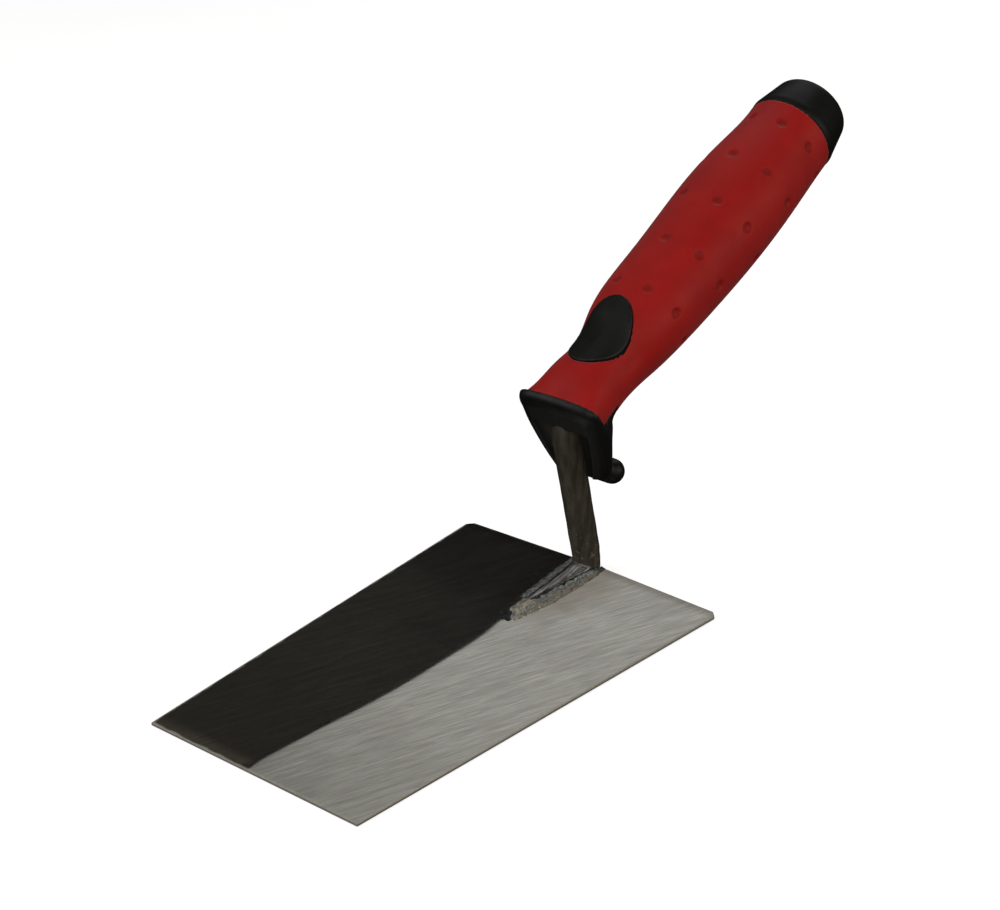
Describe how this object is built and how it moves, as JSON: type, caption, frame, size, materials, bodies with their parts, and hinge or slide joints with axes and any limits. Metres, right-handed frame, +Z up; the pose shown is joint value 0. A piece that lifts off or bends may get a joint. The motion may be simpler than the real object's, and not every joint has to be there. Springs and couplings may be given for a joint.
{
  "type": "brick trowel",
  "caption": "Square-ended masonry trowel: flat tapered steel blade, round cranked shank and a soft waisted grip with a finger guard.",
  "frame": {"origin": "on the flat sole of the blade, on the plane of symmetry, 5 mm ahead of the heel edge below the foot of the shank", "axes": "+X along the blade from heel to toe, +Y across the blade, +Z up out of the blade's upper face, towards the handle"},
  "size_m": [0.2911, 0.104, 0.1422],
  "materials": {
    "blade_steel": "ground and brushed, lines about 20 degrees off the long axis",
    "shank_steel": "dark oxide scale, foot ground bright",
    "weld_steel": "rough weld bead with heat tint",
    "braze": "dull, rough",
    "core_plastic": "moulded",
    "guard_rubber": "satin",
    "grip_rubber": "satin with shallow round dimples",
    "cap_plastic": "fine satin"
  },
  "bodies": {
    "root": {"blade": "blade_steel", "shank": "shank_steel", "weld_right": "weld_steel", "weld_left": "weld_steel", "weld_nose": "braze", "collar_guard": "guard_rubber", "handle_core": "core_plastic", "grip_sleeve": "grip_rubber", "thumb_pad": "guard_rubber", "end_cap": "cap_plastic"}
  },
  "joints": []
}
